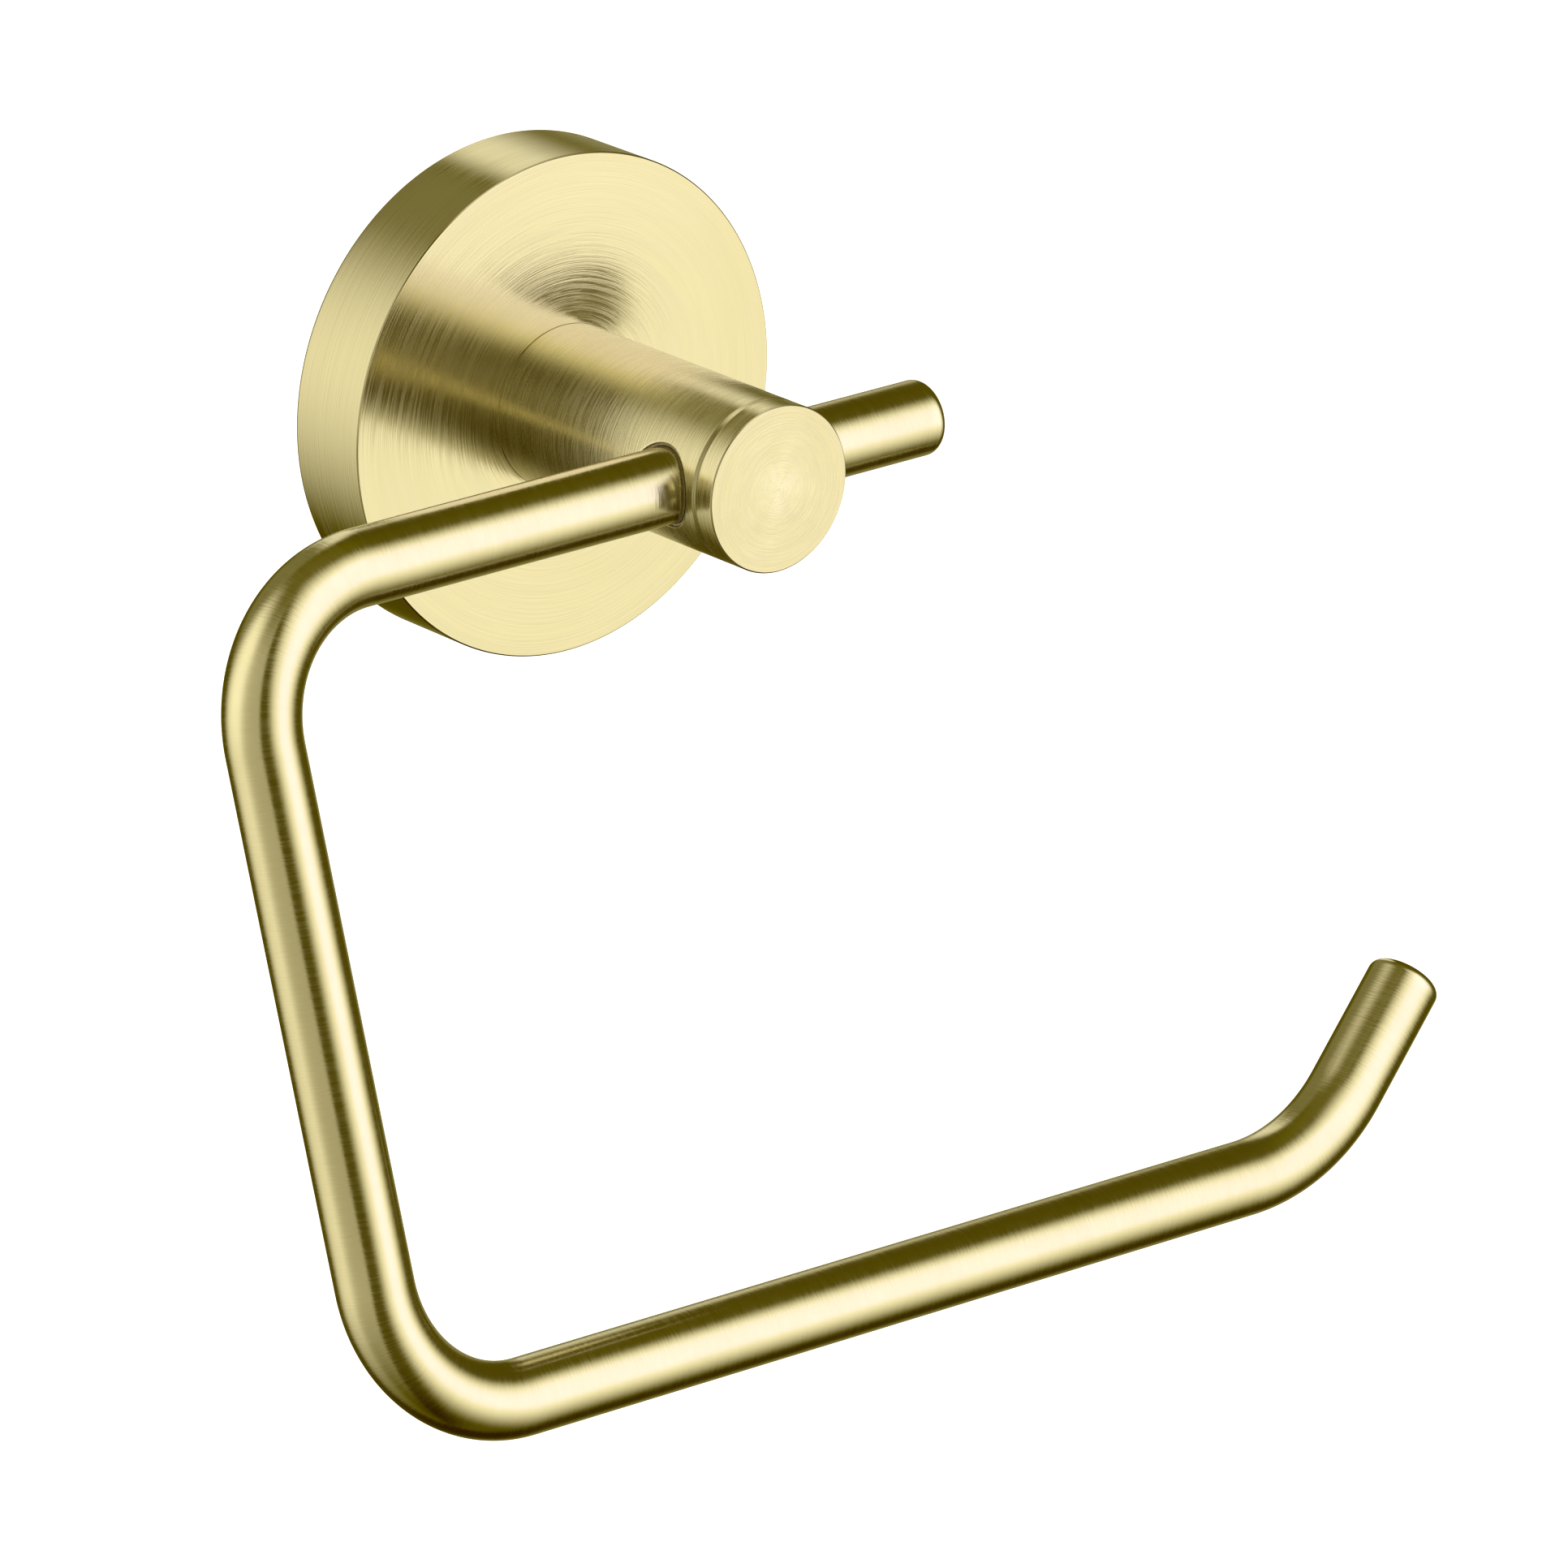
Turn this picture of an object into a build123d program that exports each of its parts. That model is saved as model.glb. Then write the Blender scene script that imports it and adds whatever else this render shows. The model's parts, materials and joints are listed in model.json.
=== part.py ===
from build123d import *
from math import cos, radians, sin, sqrt
import os

# A wall-mounted toilet paper holder: a round cup over a wall bracket, a post, and a bent bar
# that swings in a cross bore near the post's front end.
# Frame: the origin is on the wall at the post's axis, -Y points out into the room, +Z is up
# and +X is the side of the bar's short stub. Distances "off the wall" run along -Y.

# Cup and wall bracket
plate_diameter = 55.0
plate_depth = 11.0
plate_wall = 2.5
plate_face = 2.5
plate_front_chamfer = 0.15
plate_back_round = 0.4
wall_gap = 0.2
bracket_slip = 0.3
bracket_front_gap = 2.5
wall_hole_diameter = 4.5
wall_head_diameter = 8.8

# Screw that locks the cup to the bracket
grub_diameter = 3.0
grub_recess = 0.2
grub_point_radius = 0.15
grub_point_gap = 0.2
vee_depth = 1.3
grub_socket_size = 1.5
grub_socket_depth = 1.6

# Post and end cap
post_diameter = 18.0
shoulder_width = 3.0
spigot_short = 0.2
front_wall = 1.3
joint_bevel = 0.35
cap_thickness = 2.85
cap_front_chamfer = 0.15
cap_stem_diameter = 4.8
cap_stem_length = 1.2
locating_fit = 0.1
pin_diameter = 1.8
pin_depth = 4.0

# Bar
bar_diameter = 8.2
pivot_offset = 27.2
stub_reach = 26.7
leg_offset = 63.1
leg_length = 86.2
lower_arm_length = 121.7
lower_arm_fall = 1.3
tip_length = 24.3
tip_rise = 40.7
corner_radius = 15.5
tip_bend_radius = 24.4
bar_end_round = 1.1
rest_swing = 17.0

# What the bar turns in
running_clearance = 0.06
liner_wall = 0.34
liner_recess = 0.3
bore_lip = 0.12
drag_groove_depth = 0.5
drag_groove_play = 0.2
pellet_diameter = 4.8
pellet_length = 5.0
pellet_gap = 0.1
pellet_guide = 0.1

# Spring and screws inside the post
spring_length = 4.0
spring_wire = 0.6
spring_turns = 3.0
spring_guide = 0.2
thread_diameter = 6.0
thread_gap = 0.05
adjuster_length = 5.0
adjuster_socket_size = 3.0
adjuster_socket_depth = 3.0
screw_spacing = 3.2
head_diameter = 10.5
head_height = 3.3
head_socket_size = 4.0
head_socket_depth = 2.0
washer_overlap = 1.9
washer_thickness = 1.2
washer_hole_gap = 0.2
washer_room = 0.8
lock_washer_diameter = 10.6
lock_washer_thickness = 1.2
lock_washer_slit = 0.9

# Worked out: cup and bracket
plate_radius = plate_diameter / 2
cup_radius = plate_radius - plate_wall
cup_floor = plate_depth - plate_face
bracket_radius = cup_radius - bracket_slip
bracket_thickness = cup_floor - bracket_front_gap
vee_root = bracket_radius - vee_depth
vee_height = bracket_thickness / 2
grub_radius = grub_diameter / 2
grub_outer = plate_radius - grub_recess
grub_tip = vee_root + grub_point_gap
grub_shoulder = grub_tip + grub_radius - grub_point_radius

# Worked out: post, pivot and what sits on the post's axis
post_radius = post_diameter / 2
bar_radius = bar_diameter / 2
liner_bore = bar_radius + running_clearance
cross_bore = liner_bore + liner_wall
pivot_out = plate_depth + pivot_offset
post_front = pivot_out + cross_bore + front_wall
spigot_radius = post_radius - shoulder_width
spigot_hole = spigot_radius + locating_fit
spigot_back = cup_floor + spigot_short
liner_outer = sqrt(post_radius**2 - cross_bore**2) - liner_recess
drag_groove_radius = bar_radius - drag_groove_depth
pellet_radius = pellet_diameter / 2
drag_groove_half = pellet_radius + drag_groove_play
liner_inner = drag_groove_half + drag_groove_play
pellet_front = pivot_out - drag_groove_radius - pellet_gap
pellet_back = pellet_front - pellet_length
pellet_bore = pellet_radius + pellet_guide
spring_back = pellet_back - spring_length
spring_coil_radius = pellet_bore - spring_guide - spring_wire / 2
adjuster_back = spring_back - adjuster_length
thread_radius = thread_diameter / 2
tapped_radius = thread_radius + thread_gap
tapped_end = spring_back + spring_wire
fixing_tip = adjuster_back - screw_spacing
washer_radius = spigot_hole + washer_overlap
washer_back = cup_floor - washer_thickness
lock_washer_back = washer_back - lock_washer_thickness
head_back = lock_washer_back - head_height
washer_hole = thread_radius + washer_hole_gap
bracket_bore = washer_radius + washer_room
wall_hole_spacing = bracket_bore + vee_root
pin_radius = pin_diameter / 2
pin_height = (spigot_hole + post_radius) / 2

# Worked out: the plane that the bent bar lies in, and the corners of its centre line in it
swing = radians(rest_swing)
loop_plane = Plane(
    origin=(0, -pivot_out, 0), x_dir=(1, 0, 0), z_dir=(0, -cos(swing), sin(swing))
)
top_corner = (-leg_offset, 0)
bottom_corner = (-leg_offset, -leg_length)
fall = radians(lower_arm_fall)
tip_corner = (
    bottom_corner[0] + lower_arm_length * cos(fall),
    bottom_corner[1] - lower_arm_length * sin(fall),
)
rise = radians(tip_rise)
tip_end = (tip_corner[0] + tip_length * cos(rise), tip_corner[1] + tip_length * sin(rise))


def off_wall(distance):
    """The plane parallel to the wall, facing the room, at this distance from it."""
    return Plane.XZ.offset(distance)


def hexagon_radius(size_across_flats):
    """The corner radius of a hexagon, from its size across flats."""
    return size_across_flats / sqrt(3)


# The cup: turned from solid, hollow at the back, with a tapped hole in the rim's underside
with BuildPart() as escutcheon:
    with BuildSketch(off_wall(wall_gap)):
        Circle(plate_radius)
    extrude(amount=plate_depth - wall_gap)
    chamfer(escutcheon.edges().sort_by(Axis.Y)[0], length=plate_front_chamfer)
    fillet(escutcheon.edges().sort_by(Axis.Y)[-1], radius=plate_back_round)
    with BuildSketch(off_wall(wall_gap)):
        Circle(cup_radius)
    extrude(amount=cup_floor - wall_gap, mode=Mode.SUBTRACT)
    with BuildSketch(off_wall(cup_floor)):
        Circle(spigot_hole)
        with Locations((0, pin_height)):
            Circle(pin_radius)
    extrude(amount=plate_face, mode=Mode.SUBTRACT)
    with BuildSketch(Plane.XY.offset(-plate_radius)):
        with Locations((0, -vee_height)):
            Circle(grub_radius + thread_gap)
    extrude(amount=plate_wall + bracket_slip, mode=Mode.SUBTRACT)

# The wall bracket: a disc with two countersunk holes and a V groove round its edge
with BuildPart() as wall_bracket:
    with BuildSketch(off_wall(0)):
        Circle(bracket_radius)
        Circle(bracket_bore, mode=Mode.SUBTRACT)
    extrude(amount=bracket_thickness)
    with Locations(off_wall(bracket_thickness)):
        with GridLocations(wall_hole_spacing, 0, 2, 1):
            CounterSinkHole(wall_hole_diameter / 2, wall_head_diameter / 2)
    with BuildSketch(Plane.XY):
        with BuildLine():
            Polyline(
                (vee_root, -vee_height),
                (bracket_radius, -vee_height - vee_depth),
                (bracket_radius, -vee_height + vee_depth),
                close=True,
            )
        make_face()
    revolve(axis=Axis.Y, mode=Mode.SUBTRACT)

# The cone-point screw through the rim, its point in the bracket's V groove
with BuildPart() as cup_grub_screw:
    with BuildSketch(Plane.XZ.offset(vee_height)):
        with BuildLine():
            Polyline(
                (0, -grub_tip),
                (grub_point_radius, -grub_tip),
                (grub_radius, -grub_shoulder),
                (grub_radius, -grub_outer),
                (0, -grub_outer),
                close=True,
            )
        make_face()
    revolve(axis=Axis((0, -vee_height, 0), (0, 0, 1)))
    with BuildSketch(Plane.XY.offset(-grub_outer)):
        with Locations((0, -vee_height)):
            RegularPolygon(hexagon_radius(grub_socket_size), 6)
    extrude(amount=grub_socket_depth, mode=Mode.SUBTRACT)

# The post: a shoulder on the cup's face, a spigot through it, the cross bore for the bar and a
# bore along its axis, tapped for the two screws and plain for the pellet
with BuildPart() as post:
    with BuildSketch(off_wall(plate_depth)):
        Circle(post_radius)
    extrude(amount=post_front - plate_depth)
    chamfer(post.edges().sort_by(Axis.Y)[0], length=joint_bevel)
    with BuildSketch(Plane.YZ):
        with Locations((-pivot_out, 0)):
            Circle(cross_bore)
    extrude(amount=post_radius + bore_lip, both=True, mode=Mode.SUBTRACT)
    mouth_edges = post.edges().filter_by(GeomType.BSPLINE)
    chamfer(mouth_edges, length=bore_lip)
    with BuildSketch(off_wall(spigot_back)):
        Circle(spigot_radius)
    extrude(amount=plate_depth - spigot_back)
    with BuildSketch(off_wall(spigot_back)):
        Circle(tapped_radius)
    extrude(amount=tapped_end - spigot_back, mode=Mode.SUBTRACT)
    with BuildSketch(off_wall(tapped_end)):
        Circle(pellet_bore)
    extrude(amount=pivot_out - tapped_end, mode=Mode.SUBTRACT)
    with BuildSketch(off_wall(pivot_out)):
        Circle(cap_stem_diameter / 2 + thread_gap)
    extrude(amount=post_front - pivot_out, mode=Mode.SUBTRACT)
    with BuildSketch(off_wall(plate_depth)):
        with Locations((0, pin_height)):
            Circle(pin_radius)
    extrude(amount=pin_depth, mode=Mode.SUBTRACT)

# The end cap: a disc with a short stem in the post's front bore
with BuildPart() as end_cap:
    with BuildSketch(off_wall(post_front)):
        Circle(post_radius)
    extrude(amount=cap_thickness)
    chamfer(end_cap.edges().sort_by(Axis.Y)[0], length=cap_front_chamfer)
    chamfer(end_cap.edges().sort_by(Axis.Y)[-1], length=joint_bevel)
    with BuildSketch(off_wall(post_front - cap_stem_length)):
        Circle(cap_stem_diameter / 2)
    extrude(amount=cap_stem_length)

# The bar: round stock bent three times in one plane, with a groove where it crosses the post
with BuildPart() as bar:
    with BuildLine(loop_plane) as bar_route:
        FilletPolyline(
            (stub_reach, 0), top_corner, bottom_corner, tip_corner, tip_end,
            radius=(corner_radius, corner_radius, tip_bend_radius),
        )
    with BuildSketch(Plane(origin=bar_route.line @ 0, z_dir=bar_route.line % 0)):
        Circle(bar_radius)
    sweep(path=bar_route.line)
    fillet(bar.faces().filter_by(GeomType.PLANE).edges(), radius=bar_end_round)
    with BuildSketch(Plane.YZ):
        with Locations((-pivot_out, 0)):
            Circle(bar_radius)
            Circle(drag_groove_radius, mode=Mode.SUBTRACT)
    extrude(amount=drag_groove_half, both=True, mode=Mode.SUBTRACT)


def make_liner(start):
    """One liner of the cross bore: a sleeve along X from this place, as long as its half of it."""
    with BuildPart() as liner:
        with BuildSketch(Plane.YZ.offset(start)):
            with Locations((-pivot_out, 0)):
                Circle(cross_bore)
                Circle(liner_bore, mode=Mode.SUBTRACT)
        extrude(amount=liner_outer - liner_inner)
    return liner


left_liner = make_liner(-liner_outer)
right_liner = make_liner(liner_inner)

# The pellet, with its nose in the bar's groove
with BuildPart() as friction_pellet:
    with BuildSketch(off_wall(pellet_back)):
        Circle(pellet_radius)
    extrude(amount=pellet_length)

# The spring behind it
with BuildPart() as pressure_spring:
    with BuildLine() as coil:
        Helix(
            pitch=(spring_length - spring_wire) / spring_turns,
            height=spring_length - spring_wire,
            radius=spring_coil_radius,
            center=(0, -spring_back - spring_wire / 2, 0),
            direction=(0, -1, 0),
        )
    with BuildSketch(Plane(origin=coil.line @ 0, z_dir=coil.line % 0)):
        Circle(spring_wire / 2)
    sweep(path=coil.line, is_frenet=True)

# The set screw that loads the spring
with BuildPart() as adjusting_screw:
    with BuildSketch(off_wall(adjuster_back)):
        Circle(thread_radius)
        RegularPolygon(hexagon_radius(adjuster_socket_size), 6, mode=Mode.SUBTRACT)
    extrude(amount=adjuster_socket_depth)
    with BuildSketch(off_wall(adjuster_back + adjuster_socket_depth)):
        Circle(thread_radius)
    extrude(amount=adjuster_length - adjuster_socket_depth)

# The screw that holds the post to the cup, and its two washers
with BuildPart() as fixing_screw:
    with BuildSketch(off_wall(head_back)):
        Circle(head_diameter / 2)
    extrude(amount=head_height)
    with BuildSketch(off_wall(lock_washer_back)):
        Circle(thread_radius)
    extrude(amount=fixing_tip - lock_washer_back)
    with BuildSketch(off_wall(head_back)):
        RegularPolygon(hexagon_radius(head_socket_size), 6)
    extrude(amount=head_socket_depth, mode=Mode.SUBTRACT)

with BuildPart() as plain_washer:
    with BuildSketch(off_wall(washer_back)):
        Circle(washer_radius)
        Circle(washer_hole, mode=Mode.SUBTRACT)
    extrude(amount=washer_thickness)

with BuildPart() as lock_washer:
    with BuildSketch(off_wall(lock_washer_back)):
        Circle(lock_washer_diameter / 2)
        Circle(washer_hole, mode=Mode.SUBTRACT)
        with Locations((0, lock_washer_diameter / 2)):
            Rectangle(lock_washer_slit, lock_washer_diameter, mode=Mode.SUBTRACT)
    extrude(amount=lock_washer_thickness)

# The pin that stops the post from turning in the cup
with BuildPart() as locating_pin:
    with BuildSketch(off_wall(spigot_back)):
        with Locations((0, pin_height)):
            Circle(pin_radius)
    extrude(amount=plate_depth - spigot_back + pin_depth - locating_fit)

pieces = {
    "escutcheon": escutcheon,
    "wall_bracket": wall_bracket,
    "cup_grub_screw": cup_grub_screw,
    "post": post,
    "end_cap": end_cap,
    "bar": bar,
    "left_liner": left_liner,
    "right_liner": right_liner,
    "friction_pellet": friction_pellet,
    "pressure_spring": pressure_spring,
    "adjusting_screw": adjusting_screw,
    "fixing_screw": fixing_screw,
    "plain_washer": plain_washer,
    "lock_washer": lock_washer,
    "locating_pin": locating_pin,
}

os.makedirs("parts", exist_ok=True)
for name, piece in pieces.items():
    piece.part.label = name
    export_step(piece.part, f"parts/{name}.step")
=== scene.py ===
# %% [markdown]
# # A wall-mounted paper holder with a swinging arm
# It is taken to be stainless steel with a pale gold coating. A shallow cup covers a bracket on the
# wall, a post stands out of the cup, and one bent bar turns in a hole drilled across the post.
# The engineering model already fixes every size and place. This lesson loads it, lays smooth
# surfaces over the parts that show, and gives each of them the finish of the real metal.

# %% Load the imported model
import json
from math import cos, pi, radians, sin

import bmesh
import bpy
import numpy as np
from mathutils import Matrix, Vector


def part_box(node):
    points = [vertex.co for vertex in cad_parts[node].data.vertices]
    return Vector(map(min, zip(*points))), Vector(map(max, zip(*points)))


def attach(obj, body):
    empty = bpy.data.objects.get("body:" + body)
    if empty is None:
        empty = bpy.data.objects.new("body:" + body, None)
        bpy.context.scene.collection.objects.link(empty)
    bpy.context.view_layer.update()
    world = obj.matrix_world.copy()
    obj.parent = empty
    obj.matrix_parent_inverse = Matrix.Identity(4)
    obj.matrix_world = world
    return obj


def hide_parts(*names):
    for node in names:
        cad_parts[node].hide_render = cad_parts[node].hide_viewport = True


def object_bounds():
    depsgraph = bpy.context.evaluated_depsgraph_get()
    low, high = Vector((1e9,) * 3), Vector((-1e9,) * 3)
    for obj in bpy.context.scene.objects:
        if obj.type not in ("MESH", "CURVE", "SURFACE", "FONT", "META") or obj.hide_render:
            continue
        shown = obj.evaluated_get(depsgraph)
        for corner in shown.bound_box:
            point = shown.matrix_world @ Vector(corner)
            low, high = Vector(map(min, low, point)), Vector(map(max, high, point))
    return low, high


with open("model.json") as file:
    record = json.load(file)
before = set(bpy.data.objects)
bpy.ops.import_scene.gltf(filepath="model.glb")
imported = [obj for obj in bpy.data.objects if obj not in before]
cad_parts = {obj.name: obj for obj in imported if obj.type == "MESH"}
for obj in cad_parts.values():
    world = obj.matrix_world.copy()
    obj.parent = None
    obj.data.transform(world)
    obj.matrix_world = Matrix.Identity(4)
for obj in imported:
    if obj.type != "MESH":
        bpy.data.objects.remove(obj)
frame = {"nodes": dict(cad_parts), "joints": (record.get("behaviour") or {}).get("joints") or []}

MM = 0.001
bpy.context.view_layer.update()
cad_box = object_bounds()
print("CAD box, metres:", [[round(number, 5) for number in corner] for corner in cad_box])

# %% [markdown]
# ## Where things are
# The wall is the plane y = 0, and the room lies towards negative y. The post's axis is the line
# x = z = 0. Each CAD node's box tells where its faces are, and the joint tells where the bar
# turns, so a change of size in the CAD is followed here without touching a number.

# %% Places read from the model
def corners(node):
    """The lowest and highest corner of a CAD node, as two arrays in millimetres."""
    low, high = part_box(node)
    return np.array(low) / MM, np.array(high) / MM


cup_low, cup_high = corners("escutcheon")
post_low, post_high = corners("post")
cap_low, cap_high = corners("end_cap")
liner_low, liner_high = corners("right_liner")
spring_high = corners("pressure_spring")[1]
pin_low, pin_high = corners("locating_pin")
grub_low, grub_high = corners("cup_grub_screw")

plate_radius, plate_face, plate_back = cup_high[0], cup_low[1], cup_high[1]
post_radius, post_face, spigot_end = post_high[0], post_low[1], post_high[1]
cap_face, stem_end = cap_low[1], cap_high[1]
bore_radius = (liner_high[2] - liner_low[2]) / 2
arm_swing = frame["joints"][0]
pivot = np.array(arm_swing["pos_m"]) / MM
print(f"cup radius {plate_radius:.2f} mm, post radius {post_radius:.2f} mm")
print(f"the pivot is {-pivot[1]:.2f} mm off the wall")

# %% [markdown]
# ## One way to make every surface
# A surface here is a grid of points: rows one way, columns the other. Several grids that share
# their border points become one closed skin when the doubled points are merged. That is neater
# than carving a primitive, because every point is where a formula says it is.

# %% From grids to a finished piece
SHARP_TURN = radians(30)
MERGE_DISTANCE = 1e-7


def grid_faces(rows, columns, first):
    """Four-sided faces between neighbours in a grid whose points are numbered from first."""
    start = first + np.arange(rows - 1)[:, None] * columns + np.arange(columns - 1)
    return np.stack([start, start + 1, start + columns + 1, start + columns], -1).reshape(-1, 4)


def tidy_skin(mesh):
    """Merges doubled points, turns the faces outwards and keeps only real edges sharp."""
    skin = bmesh.new()
    skin.from_mesh(mesh)
    bmesh.ops.remove_doubles(skin, verts=skin.verts, dist=MERGE_DISTANCE)
    bmesh.ops.dissolve_degenerate(skin, edges=skin.edges, dist=MERGE_DISTANCE)
    bmesh.ops.recalc_face_normals(skin, faces=skin.faces)
    open_edges = sum(not edge.is_manifold for edge in skin.edges)
    skin.to_mesh(mesh)
    skin.free()
    mesh.shade_smooth()
    mesh.set_sharp_from_angle(angle=SHARP_TURN)
    return open_edges


def skin_object(name, grids):
    """One object from grids of (points in millimetres, map coordinates)."""
    sizes = [points.shape[:2] for points, _ in grids]
    firsts = np.cumsum([0] + [rows * columns for rows, columns in sizes])
    faces = np.concatenate([grid_faces(*size, first) for size, first in zip(sizes, firsts)])
    points = np.concatenate([points.reshape(-1, 3) for points, _ in grids]) * MM
    places = np.concatenate([places.reshape(-1, 2) for _, places in grids])
    mesh = bpy.data.meshes.new(name)
    mesh.from_pydata(points.tolist(), [], faces.tolist())
    mesh.uv_layers.new(name="along_and_round").uv.foreach_set("vector", places[faces].ravel())
    open_edges = tidy_skin(mesh)
    made = bpy.data.objects.new(name, mesh)
    bpy.context.scene.collection.objects.link(made)
    print(f"{name}: {len(mesh.polygons)} faces, {open_edges} open edges")
    return made


# %% [markdown]
# ## Turned profiles
# Lathe work is a profile carried round an axis. The corners of a real profile are never sharp:
# the tool leaves a small radius, and that radius is what catches the thin line of light along
# the edge of the cup. So a profile is written as corners with radii, and the arcs are worked out.

# %% Profiles and turning
ARC_STEPS = 5
GUARD = 0.08
TURN_STEPS = 128


def rounded(profile):
    """Corners (radius, height, rounding) with each rounding made an arc.

    The arc starts one tangent length from the corner: rounding over the tangent of half the inside
    angle. A guard point on each side keeps the flats flat under smooth shading.
    """
    places = np.array([corner[:2] for corner in profile], float)
    made = [places[:1]]
    for before, here, after, corner in zip(places, places[1:], places[2:], profile[1:]):
        if corner[2] == 0:
            made.append(here[None])
            continue
        back, on = before - here, after - here
        back_length, on_length = np.linalg.norm(back), np.linalg.norm(on)
        back, on = back / back_length, on / on_length
        half = np.arccos(back @ on) / 2
        reach = corner[2] / np.tan(half)
        centre = here + (back + on) / np.linalg.norm(back + on) * corner[2] / np.sin(half)
        start, end = here + back * reach, here + on * reach
        turn, share = pi - 2 * half, np.linspace(0, 1, ARC_STEPS + 1)[:, None]
        arc = (np.sin((1 - share) * turn) * (start - centre)
               + np.sin(share * turn) * (end - centre))
        arc = centre + arc / np.sin(turn)
        made += [
            (start + back * min(GUARD, (back_length - reach) * 0.4))[None],
            arc,
            (end + on * min(GUARD, (on_length - reach) * 0.4))[None],
        ]
    return np.concatenate(made + [places[-1:]])


def turned(profile, steps=TURN_STEPS, centre=(0, 0, 0), axis="Y"):
    """A profile of (radius, height) carried round an axis: radius times the cosine of the turn
    one way and times its sine the other, with height along the axis."""
    turn = np.linspace(0, 2 * pi, steps + 1)
    radius, height = profile[:, :1], profile[:, 1:]
    across, up, along = radius * np.cos(turn), radius * np.sin(turn), height + 0 * turn
    order = {"X": (along, across, up), "Y": (across, along, up), "Z": (across, up, along)}
    points = np.stack(order[axis], -1) + np.array(centre)
    run = np.concatenate([[0], np.cumsum(np.linalg.norm(np.diff(profile, axis=0), axis=1))])
    places = np.stack(np.broadcast_arrays(run[:, None] * MM, turn / (2 * pi)), -1)
    return points, places


def drill(piece, cutter):
    """Takes the cutter's volume out of the piece, then throws the cutter away."""
    cut = piece.modifiers.new("drill", "BOOLEAN")
    cut.operation, cut.solver, cut.object = "DIFFERENCE", "EXACT", cutter
    bpy.context.view_layer.update()
    evaluated = piece.evaluated_get(bpy.context.evaluated_depsgraph_get())
    drilled, whole = bpy.data.meshes.new_from_object(evaluated), piece.data
    piece.modifiers.clear()
    piece.data = drilled
    drilled.name = piece.name
    open_edges = tidy_skin(drilled)
    bpy.data.meshes.remove(whole)
    bpy.data.objects.remove(cutter)
    print(f"{piece.name} drilled: {len(drilled.polygons)} faces, {open_edges} open edges")


# %% [markdown]
# ## The cup
# A turned cup, hollow at the back, with the post's spigot through its face and a small screw hole
# in the underside of its rim. The face meets the rim in a chamfer only a sixth of a millimetre
# wide. It is modelled, because without it the bright edge line is lost.

# %% Turn the cup
PLATE_WALL = 2.5
FACE_THICKNESS = 2.5
FRONT_CHAMFER = 0.15
BACK_ROUND = 0.4
CHAMFER_EASE = 0.04
SPIGOT_HOLE = 6.1
CUP_STEPS = 256
cup_floor = plate_face + FACE_THICKNESS
cup_inside = plate_radius - PLATE_WALL

cup_profile = rounded([
    (SPIGOT_HOLE, (plate_face + cup_floor) / 2, 0),
    (SPIGOT_HOLE, plate_face, 0.1),
    (plate_radius - FRONT_CHAMFER, plate_face, CHAMFER_EASE),
    (plate_radius, plate_face + FRONT_CHAMFER, CHAMFER_EASE),
    (plate_radius, plate_back, BACK_ROUND),
    (cup_inside, plate_back, 0.1),
    (cup_inside, cup_floor, 0.4),
    (SPIGOT_HOLE, cup_floor, 0.1),
    (SPIGOT_HOLE, (plate_face + cup_floor) / 2, 0),
])
cup = skin_object("holder_cup", [turned(cup_profile, CUP_STEPS)])

# %% Drill the cup's screw hole and pin hole
HOLE_STEPS = 48
grub_place = (grub_low + grub_high) / 2
grub_hole = (grub_high[0] - grub_low[0]) / 2 + 0.05
pin_place = (pin_low + pin_high) / 2
pin_radius = (pin_high[0] - pin_low[0]) / 2
PIN_FIT = 0.01

grub_drill_profile = np.array([
    (0, -cup_inside + 1),
    (grub_hole, -cup_inside + 1),
    (grub_hole, -plate_radius + 0.15),
    (grub_hole + 0.4, -plate_radius - 0.25),
    (0, -plate_radius - 0.25),
])
drill(cup, skin_object("screw_drill", [
    turned(grub_drill_profile, HOLE_STEPS, (0, grub_place[1], 0), "Z"),
]))


def pin_drill(low, high):
    """A plain round drill on the locating pin's axis, from one depth to another."""
    radius = pin_radius + PIN_FIT
    profile = np.array([(0, low), (radius, low), (radius, high), (0, high)])
    return skin_object("pin_drill", [turned(profile, HOLE_STEPS, (0, 0, pin_place[2]))])


drill(cup, pin_drill(plate_face - 1, cup_floor + 1))

# %% [markdown]
# ## The post
# The post is a plain round, but the bar's hole crosses it, and the curve where two cylinders meet
# is what the eye goes to. The side is unrolled flat: distance round the post one way, distance
# along it the other. In that flat map the hole is a closed curve and half of the side is a
# rectangle, so rings between the curve and the rectangle fill it, and rolling the map up again
# gives an exact cylinder with an exact mouth.

# %% The post's side with its two mouths
MOUTH_LIP = 0.12
JOINT_BEVEL = 0.35
FOOT_EASE = 0.12
EDGE_EASE = 0.05
SIDE_RINGS = 22
side_front, side_foot = post_face + JOINT_BEVEL, plate_face - FOOT_EASE
half_turn = TURN_STEPS // 2
quarter = pi * post_radius / 2

walk_corners = np.array([
    (quarter, pivot[1]), (quarter, side_front), (-quarter, side_front),
    (-quarter, pivot[1]), (-quarter, side_foot), (quarter, side_foot), (quarter, pivot[1]),
])
walk_counts = (12, half_turn, 12, 28, half_turn, 28)
border = np.concatenate([
    np.linspace(start, end, count, endpoint=False)
    for start, end, count in zip(walk_corners, walk_corners[1:], walk_counts)
] + [walk_corners[-1:]])
facing = np.arctan2(border[:, 1] - pivot[1], border[:, 0])


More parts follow.
